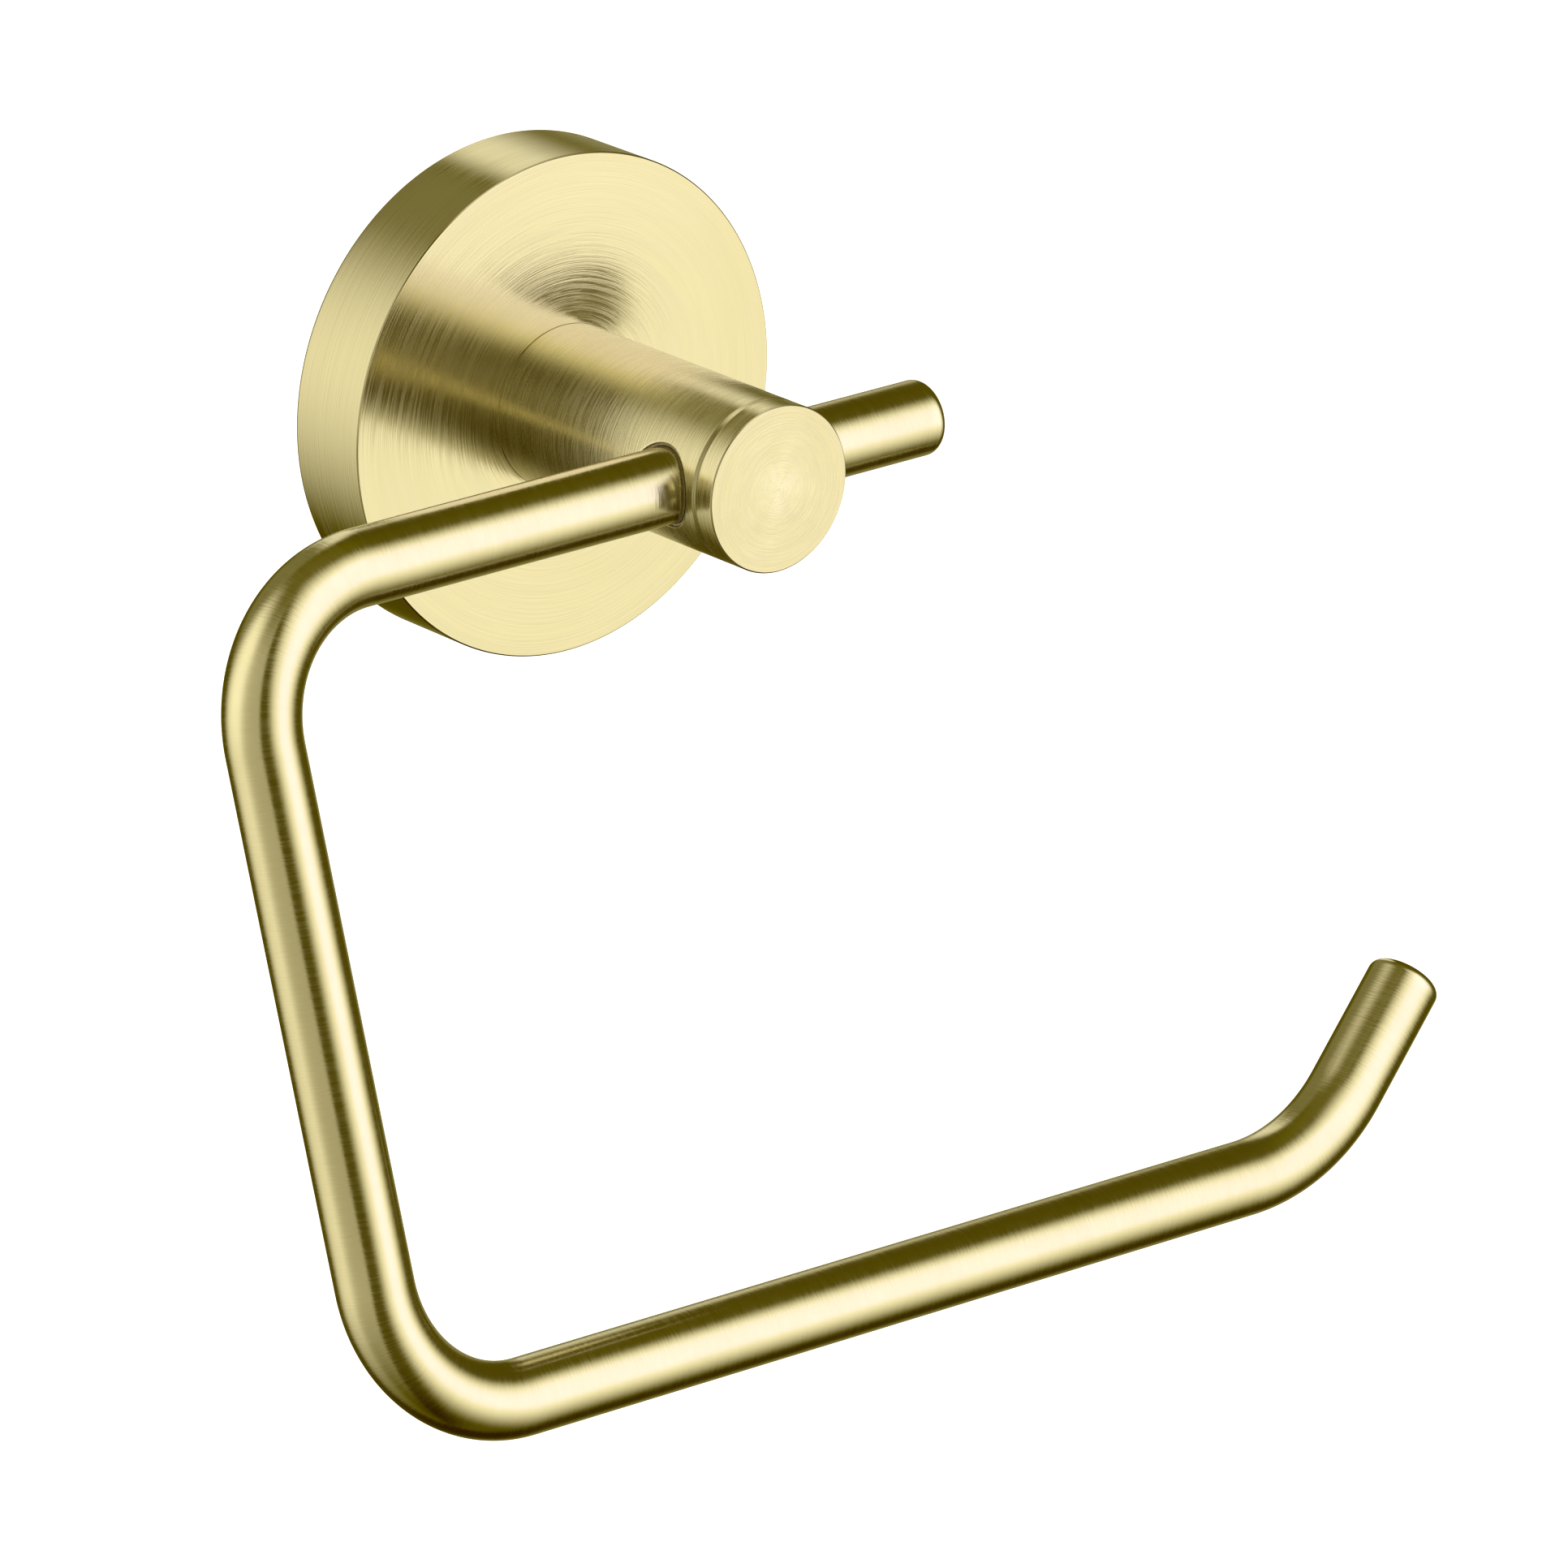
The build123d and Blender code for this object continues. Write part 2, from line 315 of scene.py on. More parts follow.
def mouth_curve(hole, sink):
    """The mouth of a hole across the post, by direction round the hole: hole times cosine up,
    hole times sine along the post, and out to the post's own surface less the sink."""
    up, along = hole * np.cos(facing), hole * np.sin(facing)
    out = np.sqrt(post_radius**2 - up**2) - sink
    return np.stack([out, pivot[1] + along, up], -1)


def rolled(flat):
    """A flat map of (distance round, distance along) rolled on to the post's side."""
    turn = flat[..., 0] / post_radius
    return np.stack([post_radius * np.cos(turn), flat[..., 1], post_radius * np.sin(turn)], -1)


def post_side():
    """Rings from the mouth to the border of half the side, first ring and last ring exact."""
    mouth = mouth_curve(bore_radius + MOUTH_LIP, 0)
    flat_mouth = np.stack([post_radius * np.arcsin(mouth[:, 2] / post_radius), mouth[:, 1]], -1)
    share = (np.linspace(0, 1, SIDE_RINGS) ** 1.4)[:, None, None]
    return rolled((1 - share) * flat_mouth + share * border)


def mouth_lip(steps=5):
    """The eased edge: a curve from the side's edge to the bore's edge, pulled to their corner."""
    outer, corner = mouth_curve(bore_radius + MOUTH_LIP, 0), mouth_curve(bore_radius, 0)
    inner = mouth_curve(bore_radius, MOUTH_LIP)
    share = np.linspace(0, 1, steps)[:, None, None]
    return (1 - share) ** 2 * outer + 2 * share * (1 - share) * corner + share**2 * inner


def cross_bore(steps=9):
    """The bore's wall, from the lip on one side straight across to the lip on the other."""
    inner = mouth_curve(bore_radius, MOUTH_LIP)
    share = np.linspace(1, -1, steps)[:, None, None]
    return inner * np.array([0, 1, 1]) + inner * np.array([1, 0, 0]) * share


def flat_places(points):
    """Map coordinates for a patch of the post: along the post, and round it."""
    turn = np.arctan2(points[..., 2], points[..., 0]) / (2 * pi)
    return np.stack([points[..., 1] * MM, turn], -1)


other_side = np.array([-1, 1, 1])
post_patches = [
    post_side(), mouth_lip(),
    post_side() * other_side, mouth_lip() * other_side,
    cross_bore(),
]
post_grids = [(points, flat_places(points)) for points in post_patches]

# %% Close the post's two ends, then bore it
SPIGOT_RADIUS = 6.0
PELLET_BORE = 2.5
TAPPED_BORE = 3.05
STEM_BORE = 2.45
front_end = rounded([
    (post_radius, side_front, 0),
    (post_radius - JOINT_BEVEL, post_face, EDGE_EASE),
    (0, post_face, 0),
])
foot_end = rounded([
    (post_radius, side_foot, 0),
    (post_radius - FOOT_EASE, plate_face, 0),
    (SPIGOT_RADIUS, plate_face, 0),
    (SPIGOT_RADIUS, spigot_end, 0.2),
    (0, spigot_end, 0),
])
post = skin_object("holder_post", post_grids + [turned(front_end), turned(foot_end)])

tapped_end = spring_high[1] - 0.6
drill(post, skin_object("long_drill", [turned(np.array([
    (0, post_face - 1),
    (STEM_BORE, post_face - 1),
    (STEM_BORE, pivot[1]),
    (PELLET_BORE, pivot[1]),
    (PELLET_BORE, tapped_end),
    (TAPPED_BORE, tapped_end),
    (TAPPED_BORE, spigot_end + 1),
    (0, spigot_end + 1),
]), HOLE_STEPS)]))
drill(post, pin_drill(pin_low[1] - 0.1, plate_face + 1))

# %% [markdown]
# ## The end cap
# A disc a few millimetres thick closes the post. Both parts are bevelled where they meet, so the
# joint reads as a fine V with a dark line at its bottom. The line is a real gap, one tenth of a
# millimetre wide, cut into the back of the cap.

# %% Turn the end cap
CAP_CHAMFER = 0.15
JOINT_GAP = 0.1
JOINT_GAP_DEPTH = 0.3
STEM_RADIUS = 2.4
cap_back = post_face
cap_profile = rounded([
    (0, cap_face, 0),
    (post_radius - CAP_CHAMFER, cap_face, CHAMFER_EASE),
    (post_radius, cap_face + CAP_CHAMFER, CHAMFER_EASE),
    (post_radius, cap_back - JOINT_BEVEL, EDGE_EASE),
    (post_radius - JOINT_BEVEL + JOINT_GAP, cap_back - JOINT_GAP, 0),
    (post_radius - JOINT_BEVEL - JOINT_GAP_DEPTH, cap_back - JOINT_GAP, 0),
    (post_radius - JOINT_BEVEL - JOINT_GAP_DEPTH, cap_back, 0),
    (STEM_RADIUS, cap_back, 0),
    (STEM_RADIUS, stem_end, 0.2),
    (0, stem_end, 0),
])
cap = skin_object("holder_end_cap", [turned(cap_profile)])

# %% [markdown]
# ## The bent bar
# One length of round stock, bent three times in a single plane. Its centre line needs only the
# direction of travel at each distance: constant on the straights, changing evenly through the
# bends. Between two stations the direction turns by a known amount, so the step between them is
# the chord of an exact arc, and adding the chords up gives the centre line with no drift.

# %% The bar's centre line
BAR_RADIUS = 4.09
STUB_REACH, LEG_OFFSET, LEG_LENGTH = 26.7, 63.1, 86.2
LOWER_ARM, LOWER_FALL = 121.7, radians(1.3)
TIP_LENGTH, TIP_RISE = 24.3, radians(40.7)
CORNER_RADIUS, TIP_BEND_RADIUS = 15.5, 24.4
REST_SWING = radians(17.0)
END_ROUND = 1.1
GROOVE_RADIUS, GROOVE_HALF = 3.6, 2.6

sides = np.array([STUB_REACH + LEG_OFFSET, LEG_LENGTH, LOWER_ARM, TIP_LENGTH])
turns = np.array([pi / 2, pi / 2 - LOWER_FALL, TIP_RISE + LOWER_FALL])
bend_radii = np.array([CORNER_RADIUS, CORNER_RADIUS, TIP_BEND_RADIUS])
tangents = bend_radii * np.tan(turns / 2)
straights = sides - np.append(0, tangents) - np.append(tangents, 0)
bend_lengths = bend_radii * turns
pieces_in_order = np.zeros(7)
pieces_in_order[0::2], pieces_in_order[1::2] = straights, bend_lengths
marks = np.append(0, np.cumsum(pieces_in_order))
headings = pi + np.repeat(np.append(0, np.cumsum(turns)), 2)
bar_length = marks[-1]
print(f"bar: {bar_length:.1f} mm of stock, bends of {np.round(np.degrees(turns), 1)} degrees")


def centre_line(distance):
    """Points, side directions and the plane's normal at each distance along the bar.

    Each step is its length times sine of half the turn over half the turn, in the middle heading.
    """
    heading = np.interp(distance, marks, headings)
    turn, middle = np.diff(heading), (heading[1:] + heading[:-1]) / 2
    step = np.diff(distance) * np.sinc(turn / 2 / pi)
    flat = np.stack([step * np.cos(middle), step * np.sin(middle)], -1)
    flat = np.array([STUB_REACH, 0]) + np.concatenate([np.zeros((1, 2)), np.cumsum(flat, axis=0)])
    right, up = np.array([1, 0, 0]), np.array([0, sin(REST_SWING), cos(REST_SWING)])
    points = pivot + flat[:, :1] * right + flat[:, 1:] * up
    inward = -np.sin(heading)[:, None] * right + np.cos(heading)[:, None] * up
    return points, inward, np.cross(right, up)


# %% Stations along the bar, and its radius at each
BAR_ROUND_STEPS = 96
round_turn = np.linspace(0, pi / 2, 9)
end_run = END_ROUND * (1 - np.cos(round_turn))
end_radius = BAR_RADIUS - END_ROUND * (1 - np.sin(round_turn))
groove_start, groove_end = STUB_REACH - GROOVE_HALF, STUB_REACH + GROOVE_HALF
END_MARGIN = 0.1
SHORT_RUN_STEPS, STRAIGHT_STEPS = 12, 24
BEND_STEP = 1.5  # degrees
first_run = np.linspace(END_ROUND + END_MARGIN, groove_start, SHORT_RUN_STEPS)
groove_run = np.array([groove_start, groove_end])
bend_steps = np.ceil(np.degrees(turns) / BEND_STEP).astype(int)
far_run = [np.linspace(groove_end, marks[1], SHORT_RUN_STEPS)]
for bend, count in enumerate(bend_steps):
    bend_start, bend_end, straight_end = marks[2 * bend + 1: 2 * bend + 4]
    last = END_ROUND + END_MARGIN if bend == len(bend_steps) - 1 else 0
    far_run += [
        np.linspace(bend_start, bend_end, count, endpoint=False)[1:],
        np.linspace(bend_end, straight_end - last, STRAIGHT_STEPS),
    ]
far_run = np.concatenate(far_run)
stations = np.concatenate([
    [0], end_run, first_run, groove_run,
    far_run, bar_length - end_run[::-1], [bar_length],
])
radii = np.concatenate([
    [0], end_radius, np.full(len(first_run), BAR_RADIUS), np.full(2, GROOVE_RADIUS),
    np.full(len(far_run), BAR_RADIUS), end_radius[::-1], [0],
])


def tube(distance, radius, steps=BAR_ROUND_STEPS):
    """A circle carried along the centre line: radius times cosine towards the inside of the
    bends, and radius times sine square to the plane of the bar."""
    points, inward, square = centre_line(distance)
    turn = np.linspace(0, 2 * pi, steps + 1)
    ring = np.cos(turn)[None, :, None] * inward[:, None] + np.sin(turn)[None, :, None] * square
    skin = points[:, None] + radius[:, None, None] * ring
    places = np.stack(np.broadcast_arrays(distance[:, None] / bar_length, turn / (2 * pi)), -1)
    return skin, places


bar = skin_object("holder_bar", [tube(stations, radii)])

# %% [markdown]
# ## The liners
# Two thin sleeves line the hole so that gold never rubs on gold. Only their outer ends show, as a
# thin ring inside each mouth. The ends are cut to follow the post's round side, so that the ring
# lies at one depth all the way round the bar.

# %% Turn the two liners
LINER_BORE = BAR_RADIUS + 0.06
liner_ease = 0.06


def liner(name, node):
    """A sleeve turned round the cross bore's axis. Its outer end moves out by
    sqrt(R^2 - z^2) - sqrt(R^2 - r^2), with R the post's radius and r the hole's."""
    low, high = corners(node)
    middle = (low[0] + high[0]) / 2
    profile = rounded([
        (bore_radius, middle, 0),
        (bore_radius, low[0], liner_ease),
        (LINER_BORE, low[0], liner_ease),
        (LINER_BORE, high[0], liner_ease),
        (bore_radius, high[0], liner_ease),
        (bore_radius, middle, 0),
    ])
    points, places = turned(profile, TURN_STEPS, (0, pivot[1], 0), "X")
    outward = np.sign(middle)
    swell = (np.sqrt(post_radius ** 2 - points[..., 2] ** 2)
             - np.sqrt(post_radius ** 2 - bore_radius ** 2))
    points[..., 0] += outward * np.where((points[..., 0] - middle) * outward > 0, swell, 0)
    return skin_object(name, [(points, places)])


left_sleeve = liner("left_sleeve", "left_liner")
right_sleeve = liner("right_sleeve", "right_liner")

# %% [markdown]
# ## Shader sums as Python
# A finish is arithmetic on coordinates: how far across the brush lines, how far from an edge.
# Wiring that up node by node hides the sum, so one small class lets Python's own operators add
# the Math nodes, and a bench lays out every other kind of node with a single method.

# %% A socket that can be used in a sum
class Signal:
    """One output socket. Adding, subtracting, multiplying or dividing it adds a Math node."""

    def __init__(self, bench, socket):
        self.bench, self.socket = bench, socket

    def maths(self, operation, *values):
        return self.bench.node("ShaderNodeMath", {"operation": operation}, dict(enumerate(values)))

    def __add__(self, other):
        return self.maths("ADD", self, other)

    def __sub__(self, other):
        return self.maths("SUBTRACT", self, other)

    def __rsub__(self, other):
        return self.maths("SUBTRACT", other, self)

    def __mul__(self, other):
        return self.maths("MULTIPLY", self, other)

    def __truediv__(self, other):
        return self.maths("DIVIDE", self, other)

    def __rtruediv__(self, other):
        return self.maths("DIVIDE", other, self)

    def __pow__(self, other):
        return self.maths("POWER", self, other)

    __radd__, __rmul__ = __add__, __mul__


class Bench:
    """A node tree, and short ways to add to it."""

    def __init__(self, tree):
        self.tree = tree

    def feed(self, socket, value):
        """Links a signal to a socket, or sets the socket's own number."""
        if isinstance(value, Signal):
            self.tree.links.new(value.socket, socket)
        else:
            socket.default_value = value

    def node(self, kind, settings={}, inputs={}, output=0):
        """Any node: its settings first, then the values or links of its sockets."""
        made = self.tree.nodes.new(kind)
        for name, value in settings.items():
            setattr(made, name, value)
        for name, value in inputs.items():
            self.feed(made.inputs[name], value)
        return Signal(self, made.outputs[output])

    def split(self, vector):
        """The three numbers of a vector."""
        made = self.node("ShaderNodeSeparateXYZ", {}, {0: vector})
        return [Signal(self, socket) for socket in made.socket.node.outputs]

    def join(self, x, y, z):
        """A vector from three numbers."""
        return self.node("ShaderNodeCombineXYZ", {}, {0: x, 1: y, 2: z})

    def noise(self, place, scale=1.0, detail=2.0):
        """Soft random values between 0 and 1."""
        inputs = {"Vector": place, "Scale": scale, "Detail": detail}
        return self.node("ShaderNodeTexNoise", {}, inputs)

    def rise(self, value, low, high):
        """0 below low, 1 above high, and a smooth rise in between."""
        settings = {"interpolation_type": "SMOOTHSTEP"}
        return self.node("ShaderNodeMapRange", settings, {0: value, 1: low, 2: high})

    def blend(self, share, first, second):
        """The first colour at share 0 and the second at share 1."""
        colours = {0: share, 6: (*first, 1) if isinstance(first, tuple) else first,
                   7: (*second, 1) if isinstance(second, tuple) else second}
        return self.node("ShaderNodeMix", {"data_type": "RGBA"}, colours, 2)


# %% [markdown]
# ## Brushed gold
# The parts are brushed on a lathe or a belt, then coated. The coating is only a few thousandths of
# a millimetre thick, so it keeps every brush line. Two things make the look: lines that run round
# each part and tip the reflection a little along it, and a coating that is never quite one colour.
# One field of lines does both. It changes fast across the lines and slowly along them.

# %% The finish's own recipe
LINE_PITCH = 0.16
BROAD_PITCH = 1.1
LINE_HEIGHT = 1.7e-5
GOLD_PALE, GOLD_DEEP, GOLD_WORN = (0.73, 0.675, 0.453), (0.68, 0.625, 0.412), (0.79, 0.74, 0.56)
EDGE_REACH = 0.35
# How far the cap's painted highlight reaches from its middle, in millimetres
CENTRE_HIGHLIGHT_REACH = 4.5
# How fast each field changes round the part, and shifts that keep the fields apart
FINE_DRIFT, BROAD_DRIFT = 1.8, 1.2
BROAD_SHIFT, CLOUD_SHIFT = 31, 7
CLOUD_PITCH = 9
FINE_SHARE, BROAD_SHARE = 0.65, 0.35
LINE_FLOOR, LINE_TOP = 0.42, 0.58
WEAR_AND_HIGHLIGHT_STRENGTH = 0.5
CLOUD_DULLING = WEAR_POLISH = 0.04


def metal(name, pale, deep, worn_and_highlight, across, along, edge,
          roughness=0.13, spread=0.07, height=LINE_HEIGHT):
    """A brushed metal. across, along and edge build their signals on the material's own bench.
    roughness is that of the smooth land between two brush lines, and spread is how much duller
    the bottom of a line is, so a reflection is part sharp and part blurred."""
    material = bpy.data.materials.new(name)
    material.use_nodes = True
    bench = Bench(material.node_tree)
    shader = material.node_tree.nodes["Principled BSDF"].inputs
    shader["Metallic"].default_value = 1.0
    across, (turn_one, turn_two) = across(bench), along(bench)
    fine = bench.noise(
        bench.join(across / LINE_PITCH, turn_one * FINE_DRIFT, turn_two * FINE_DRIFT), detail=3.0)
    broad = bench.noise(bench.join(
        across / BROAD_PITCH + BROAD_SHIFT, turn_one * BROAD_DRIFT, turn_two * BROAD_DRIFT))
    cloud = bench.noise(
        bench.join(across / CLOUD_PITCH, turn_one + CLOUD_SHIFT, turn_two), detail=3.0)
    # Edge wear, and on the cap also a painted highlight at its centre, mixed into the base colour
    wear_and_highlight_share = edge(bench) * bench.rise(cloud * 0.5 + fine * 0.5, 0.35, 0.6) * WEAR_AND_HIGHLIGHT_STRENGTH
    lines = fine * FINE_SHARE + broad * BROAD_SHARE
    coat = bench.blend(bench.rise(lines * 0.6 + cloud * 0.4, 0.3, 0.7), deep, pale)
    bench.feed(shader["Base Color"], bench.blend(wear_and_highlight_share, coat, worn_and_highlight))
    dull = spread * bench.rise(fine, LINE_FLOOR, LINE_TOP)
    bench.feed(
        shader["Roughness"], roughness + dull + CLOUD_DULLING * cloud - wear_and_highlight_share * WEAR_POLISH)
    bump = bench.node("ShaderNodeBump", {}, {"Strength": 1.0, "Distance": height, "Height": lines})
    bench.feed(shader["Normal"], bump)
    print(f"finish {name}: {len(material.node_tree.nodes)} nodes")
    return material


def turned_place(bench):
    """Distance from the post's axis and along it, in millimetres, and the direction round it."""
    place = bench.node("ShaderNodeTexCoord", output=3)
    x, y, z = bench.split(place)
    radius = (x * x + z * z) ** 0.5
    safe = radius + 1e-6
    return radius / MM, y / MM, x / safe, z / safe


def across_turned(bench):
    """Lines on turned work run round it, so they change with radius on a face and with length
    on a side. Nine tenths keeps the sum from standing still on a 45 degree bevel."""
    radius, length, _, _ = turned_place(bench)
    return radius + length * 0.9


def along_turned(bench):
    """The direction round the axis, as a cosine and a sine, which have no seam."""
    return turned_place(bench)[2:]


def near_edges(*edges):
    """A share that is 1 on each turned edge, given as (radius, length), and fades within reach."""
    def share(bench):
        radius, length, _, _ = turned_place(bench)
        nearest = 0
        for edge_radius, edge_length in edges:
            away = ((radius - edge_radius) ** 2 + (length - edge_length) ** 2) ** 0.5
            close = 1 - bench.rise(away, 0.0, EDGE_REACH)
            nearest = close if nearest == 0 else close.maths("MAXIMUM", close, nearest)
        return nearest
    return share


# %% Gold for the turned parts
gold = (GOLD_PALE, GOLD_DEEP, GOLD_WORN)
cup_gold = metal(
    "brushed_gold_cup", *gold, across_turned, along_turned,
    near_edges((plate_radius, plate_face), (plate_radius, plate_back)),
    roughness=0.10, spread=0.10,
)
post_gold = metal(
    "brushed_gold_post", *gold, across_turned, along_turned,
    near_edges((post_radius, post_face), (post_radius, cap_face)),
    roughness=0.19, spread=0.085, height=2.1e-5,
)


def cap_wear_and_highlight(bench):
    """The cap is faced from the middle out. Its rim edges take wear, and its centre is painted
    brighter than its rings, a painted highlight.
    """
    radius = turned_place(bench)[0]
    rim = near_edges((post_radius, post_face), (post_radius, cap_face))(bench)
    return rim.maths("MAXIMUM", rim, 1 - bench.rise(radius, 0.0, CENTRE_HIGHLIGHT_REACH))


# The cap's pale shade is lifted above the other gold as painted sheen, and its worn colour also
# paints the highlight at its centre
CAP_PALE_WITH_SHEEN, CAP_DEEP, CAP_WORN_AND_HIGHLIGHT = (0.79, 0.73, 0.505), (0.685, 0.625, 0.41), (0.92, 0.88, 0.72)
cap_gold = metal(
    "brushed_gold_cap", CAP_PALE_WITH_SHEEN, CAP_DEEP, CAP_WORN_AND_HIGHLIGHT,
    across_turned, along_turned, cap_wear_and_highlight, roughness=0.16, spread=0.12, height=2.2e-5,
)

# %% [markdown]
# The bar is bent after it is brushed, so its lines follow it round every bend. Object coordinates
# cannot do that. The bar's own map can: one number is the distance along the bar, the other the
# turn round it. The turn goes in as a cosine and a sine, so the lines close on themselves.

# %% Gold for the bar
END_WEAR_REACH = 2.5


def bar_place(bench):
    """Distance along the bar in millimetres, and the turn round it in radians."""
    along, turn, _ = bench.split(bench.node("ShaderNodeUVMap", {"uv_map": "along_and_round"}))
    return along * bar_length, turn * (2 * pi)


def along_bar(bench):
    """The direction round the bar, as a cosine and a sine."""
    turn = bar_place(bench)[1]
    return turn.maths("COSINE", turn), turn.maths("SINE", turn)


def near_bar_ends(bench):
    """A share that is 1 at the bar's two rounded ends."""
    distance = bar_place(bench)[0]
    return 1 - (bench.rise(distance, END_ROUND, END_WEAR_REACH)
                * bench.rise(bar_length - distance, END_ROUND, END_WEAR_REACH))


def across_bar(bench):
    """The distance along the bar, which runs across its ring-shaped brush lines."""
    return bar_place(bench)[0]


bar_gold = metal("brushed_gold_bar", *gold, across_bar, along_bar, near_bar_ends)

# %% [markdown]
# ## Steel and plastic inside
# The bracket is faced on a lathe and left plain: rings from the tool, and a grey that the studio
# warms a little. The screws and washers are bright stainless stock. The liners are a bearing
# plastic coloured a dull dark gold as painted shade, so the ring in each mouth reads as gold in
# soft shadow, and the pellet is natural nylon. Both have the faint mottle of moulded parts.

# %% Plain steels
bracket_corner = corners("wall_bracket")[1]
screw_corner = corners("fixing_screw")[1]
spring_ring_low, spring_ring_high = corners("lock_washer")
bracket_steel = metal(
    "turned_steel", (0.60, 0.61, 0.63), (0.50, 0.51, 0.53), (0.72, 0.72, 0.73),
    across_turned, along_turned, near_edges((bracket_corner[0], 0.0)),
    roughness=0.3, height=3e-6,
)
screw_steel = metal(
    "screw_steel", (0.56, 0.57, 0.59), (0.44, 0.45, 0.47), (0.7, 0.7, 0.7),
    across_turned, along_turned, near_edges((screw_corner[0], screw_corner[1])),
    roughness=0.26, height=2e-6,
)
spring_steel = metal(
    "spring_steel", (0.48, 0.48, 0.50), (0.34, 0.34, 0.36), (0.6, 0.6, 0.6),
    across_turned, along_turned, near_edges((spring_ring_high[0], spring_ring_low[1])),
    roughness=0.32, height=2e-6,
)


# %% Plastics
PATCH_SCALE = 120.0
PATCH_DULLING = 0.12
GRAIN_HEIGHT = 4e-6


def plastic(name, light, dark, roughness, mottle):
    """A moulded plastic: two close shades, and a skin that is slightly uneven."""
    material = bpy.data.materials.new(name)
    material.use_nodes = True
    bench = Bench(material.node_tree)
    shader = material.node_tree.nodes["Principled BSDF"].inputs
    place = bench.node("ShaderNodeTexCoord", output=3)
    grain, patch = bench.noise(place, 1 / (mottle * MM), 3.0), bench.noise(place, PATCH_SCALE)
    shade = bench.rise(grain * 0.5 + patch * 0.5, 0.3, 0.7)
    bench.feed(shader["Base Color"], bench.blend(shade, dark, light))
    bench.feed(shader["Roughness"], roughness + PATCH_DULLING * patch)
    bench.feed(shader["Normal"], bench.node("ShaderNodeBump", {}, {
        "Strength": 1.0, "Distance": GRAIN_HEIGHT, "Height": grain,
    }))
    return material


# The liners' dull dark gold is painted shade, so the ring in each mouth reads as gold in soft
# shadow
liner_painted_shade = plastic("bearing_plastic_painted_shade", (0.34, 0.29, 0.14), (0.24, 0.20, 0.09), 0.38, 0.3)
pellet_nylon = plastic("natural_nylon", (0.86, 0.84, 0.77), (0.78, 0.75, 0.67), 0.35, 0.4)

# %% [markdown]
# ## Dressing the pieces
# New pieces stand for the CAD nodes they follow and ride on the same bodies. Only the bar swings.
# CAD nodes whose shape is already right stay as they are, and only take a finish.

# %% Finish, ride and replace
for piece, finish, body, slot, node in (
    (cup, cup_gold, "wall_unit", "gold_finish", "escutcheon"),
    (post, post_gold, "wall_unit", "gold_finish", "post"),
    (cap, cap_gold, "wall_unit", "gold_finish", "end_cap"),
    (bar, bar_gold, "swing_arm", "gold_finish", "bar"),
    (left_sleeve, liner_painted_shade, "wall_unit", "liner_plastic", "left_liner"),
    (right_sleeve, liner_painted_shade, "wall_unit", "liner_plastic", "right_liner"),
):
    piece.data.materials.clear()
    piece.data.materials.append(finish)
    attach(piece, body)
    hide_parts(node)

for node, finish in {
    "wall_bracket": bracket_steel,
    "cup_grub_screw": screw_steel,
    "adjusting_screw": screw_steel,
    "fixing_screw": screw_steel,
    "plain_washer": screw_steel,
    "locating_pin": screw_steel,
    "pressure_spring": spring_steel,
    "lock_washer": spring_steel,
    "friction_pellet": pellet_nylon,
}.items():
    kept = frame["nodes"][node]
    if not kept.material_slots:
        kept.data.materials.append(finish)
    for place in kept.material_slots:
        place.material = finish

# %% [markdown]
# ## The studio
# A polished round shows nothing but its surroundings, so the lighting is really a set of large
# soft panels and the dark between them. One panel stands on the object's left and one in front and
# to its right. A tall narrow one behind, on the right, draws the thin lines along the tops of the
# bars, and a low one behind fills in their undersides. They are painted on the sky by direction,
# which keeps them soft and far away. What the camera sees behind the object is plain white.

# %% Paint the panels by direction
sky = bpy.data.worlds.new("studio")
bpy.context.scene.world = sky
sky.use_nodes = True
studio = Bench(sky.node_tree)
direction = studio.node("ShaderNodeTexCoord", output=0)
east, north, height = studio.split(direction)
bearing = east.maths("ARCTAN2", east, 0 - north) * (180 / pi)
elevation = height.maths("ARCSINE", height) * (180 / pi)


def hill(value, centre, width):
    """A flat-topped hill: one over one plus the fourth power of the distance in widths."""
    away = (value - centre) / width
    return 1 / (1 + away * away * away * away)


def between(value, low, high, low_soft, high_soft):
    """1 between two bearings or heights, with its own soft edge at each end."""
    return (studio.rise(value, low - low_soft / 2, low + low_soft / 2)
            * (1 - studio.rise(value, high - high_soft / 2, high + high_soft / 2)))


# Each panel's strength, as a share of full light: an even base and a brighter crest
LEFT_BASE, LEFT_CREST = 0.33, 0.56
FRONT_BASE, FRONT_CREST = 0.62, 0.42
BACK_STRENGTH, BACK_GLOW_STRENGTH, LOW_BACK_STRENGTH = 0.66, 0.10, 0.14
TOP_GLOW_STRENGTH, GAP_GLOW_STRENGTH = 0.05, 0.05
DARKEST = 0.01

# Bearings and heights below are in degrees
leaning = bearing - elevation * 0.15
left_panel = (studio.rise(bearing, -170.0, -146.0) * (1 - studio.rise(leaning, -49.0, -41.0))
              * (1 - studio.rise(elevation, 42.0, 78.0))
              * (LEFT_BASE + LEFT_CREST * hill(bearing, -121.0, 25.0))
              * (0.08 + 0.92 * studio.rise(elevation, -80.0, 12.0)))
front_panel = (between(bearing, -9.0, 63.0, 28.0, 30.0)
               * (1 - studio.rise(elevation + bearing * 0.3, 44.0, 90.0))
               * (FRONT_BASE + FRONT_CREST * hill(bearing, 29.0, 22.0))
               * (0.06 + 0.94 * studio.rise(elevation, -66.0, -2.0)))
back_panel = (between(bearing, 142.0, 155.0, 10.0, 10.0)
              * between(elevation, 6.0, 50.0, 14.0, 22.0) * BACK_STRENGTH)
behind = bearing.maths("ABSOLUTE", bearing)
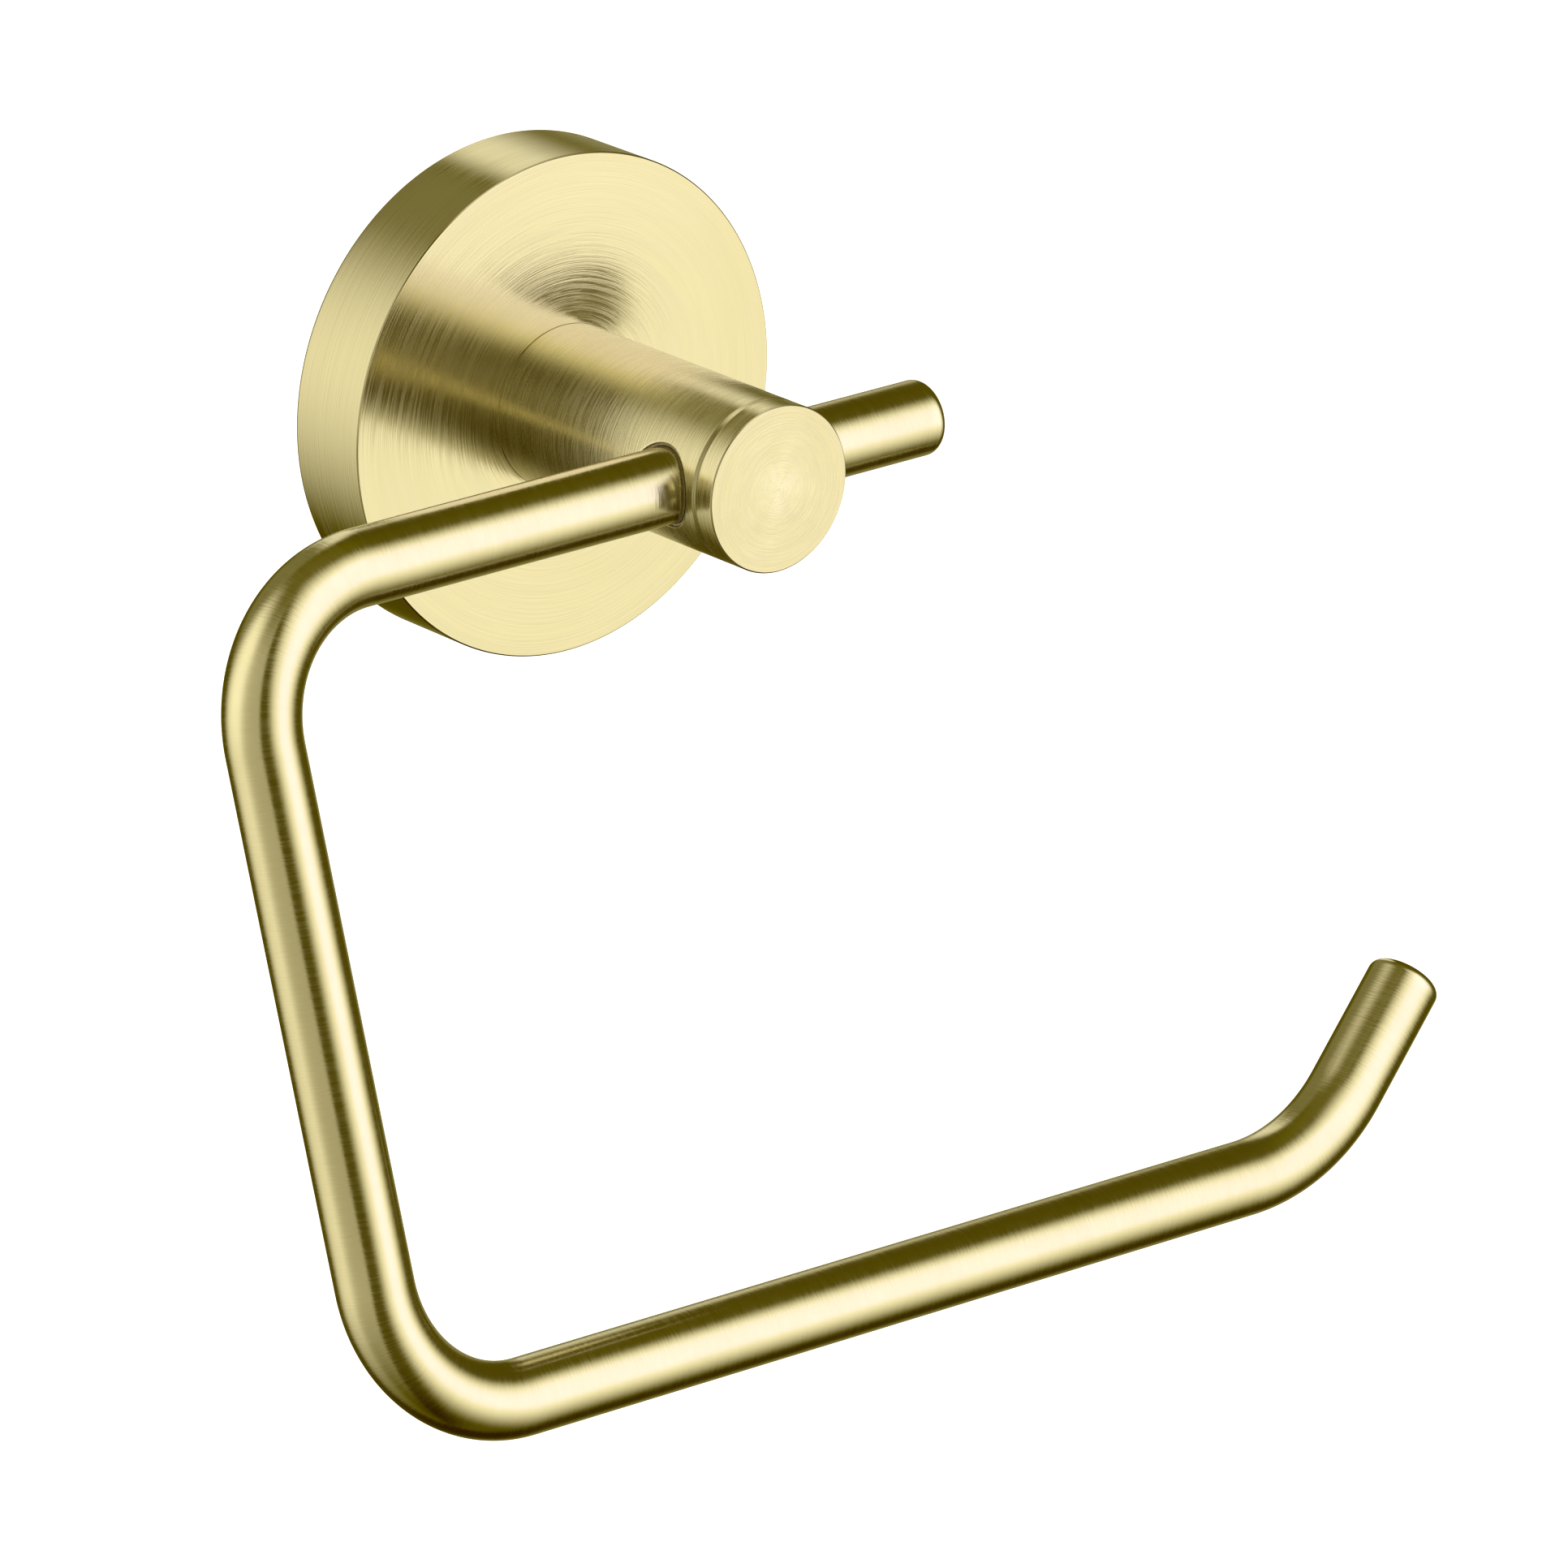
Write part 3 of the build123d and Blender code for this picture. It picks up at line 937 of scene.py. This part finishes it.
back_glow = (studio.rise(behind, 150.0, 168.0)
             * between(elevation, 6.0, 60.0, 16.0, 16.0) * BACK_GLOW_STRENGTH)
low_back = (between(bearing, 112.0, 148.0, 16.0, 12.0)
            * between(elevation, -50.0, 2.0, 24.0, 12.0) * LOW_BACK_STRENGTH)
top_glow = studio.rise(elevation, 45.0, 80.0) * TOP_GLOW_STRENGTH
gap_glow = GAP_GLOW_STRENGTH * studio.rise(elevation, -75.0, -20.0) + DARKEST
level = left_panel + front_panel + back_panel + back_glow + low_back + top_glow + gap_glow

# %% Warm the dark side, and keep the backdrop white for the camera
PANEL_POWER = 1.36
WARM_GAIN, WARM_LIFT = 1.035, 0.015
COOL_GAIN, COOL_CUT = 1.18, 0.095
HOT_START, HOT_FULL, HOT_BLUE = 0.92, 1.14, 0.56
hot = studio.rise(level, HOT_START, HOT_FULL)
cool = (level - COOL_CUT) * COOL_GAIN
warm = studio.node("ShaderNodeCombineColor", {}, {
    0: (level * WARM_GAIN + WARM_LIFT) * PANEL_POWER,
    1: level * PANEL_POWER,
    2: cool.maths("MAXIMUM", cool, 0.0) + HOT_BLUE * hot,
})
seen = studio.node("ShaderNodeLightPath", output=0)
shown = studio.blend(seen, warm, (1.0, 1.0, 1.0))
sky.node_tree.links.new(shown.socket, sky.node_tree.nodes["Background"].inputs["Color"])
bpy.context.scene.view_settings.view_transform = "Standard"
print("studio:", len(sky.node_tree.nodes), "nodes")

# %% [markdown]
# The floor is a plain pale sheet well below the object. It glows faintly so that it reads as the
# same white as the backdrop, and it is kept out of the reflections in the metal.

# %% Lay the floor
FLOOR_DROP = 0.30
FLOOR_HALF = 6.0
FLOOR_SHADE = FLOOR_GLOW = FLOOR_ROUGHNESS = 0.9
floor_level = cad_box[0][2] - FLOOR_DROP
floor_mesh = bpy.data.meshes.new("floor")
floor_corners = [
    (x * FLOOR_HALF, y * FLOOR_HALF, floor_level)
    for x, y in ((-1, -1), (1, -1), (1, 1), (-1, 1))
]
floor_mesh.from_pydata(floor_corners, [], [(0, 1, 2, 3)])
floor = bpy.data.objects.new("floor", floor_mesh)
bpy.context.scene.collection.objects.link(floor)
floor_paint = bpy.data.materials.new("pale_floor")
floor_paint.use_nodes = True
paint = floor_paint.node_tree.nodes["Principled BSDF"].inputs
paint["Base Color"].default_value = (FLOOR_SHADE, FLOOR_SHADE, FLOOR_SHADE, 1)
paint["Roughness"].default_value = FLOOR_ROUGHNESS
paint["Specular IOR Level"].default_value = 0.0
paint["Emission Color"].default_value = (1, 1, 1, 1)
paint["Emission Strength"].default_value = FLOOR_GLOW
floor_mesh.materials.append(floor_paint)
floor.visible_glossy = False

# %% [markdown]
# ## The camera
# A long lens from the left, a little above: the view that shows the loop of the bar, the cup's
# face and the cap's face together.

# %% Set the camera
LENS, SENSOR_WIDTH = 232.3, 36.0
NEAR_CLIP, FAR_CLIP = 0.05, 50.0
VIEW_TURN, VIEW_RISE, VIEW_ROLL = radians(-38.834), radians(20.595), radians(-0.532)
VIEW_DISTANCE = 1.0684
AIM_OFFSET = Vector((2.03, -3.12, -6.43)) * MM
aim = (cad_box[0] + cad_box[1]) / 2 + AIM_OFFSET
away = Vector((sin(VIEW_TURN) * cos(VIEW_RISE), -cos(VIEW_TURN) * cos(VIEW_RISE), sin(VIEW_RISE)))
lens = bpy.data.cameras.new("product_lens")
lens.lens, lens.sensor_width = LENS, SENSOR_WIDTH
lens.clip_start, lens.clip_end = NEAR_CLIP, FAR_CLIP
camera = bpy.data.objects.new("product_camera", lens)
bpy.context.scene.collection.objects.link(camera)
facing_turn = away.to_track_quat("Z", "Y").to_matrix() @ Matrix.Rotation(VIEW_ROLL, 3, "Z")
camera.matrix_world = Matrix.Translation(aim + away * VIEW_DISTANCE) @ facing_turn.to_4x4()
bpy.context.scene.camera = camera
print("camera at", [round(number, 4) for number in camera.matrix_world.translation])

# %% Update the scene, and finish
bpy.context.view_layer.update()
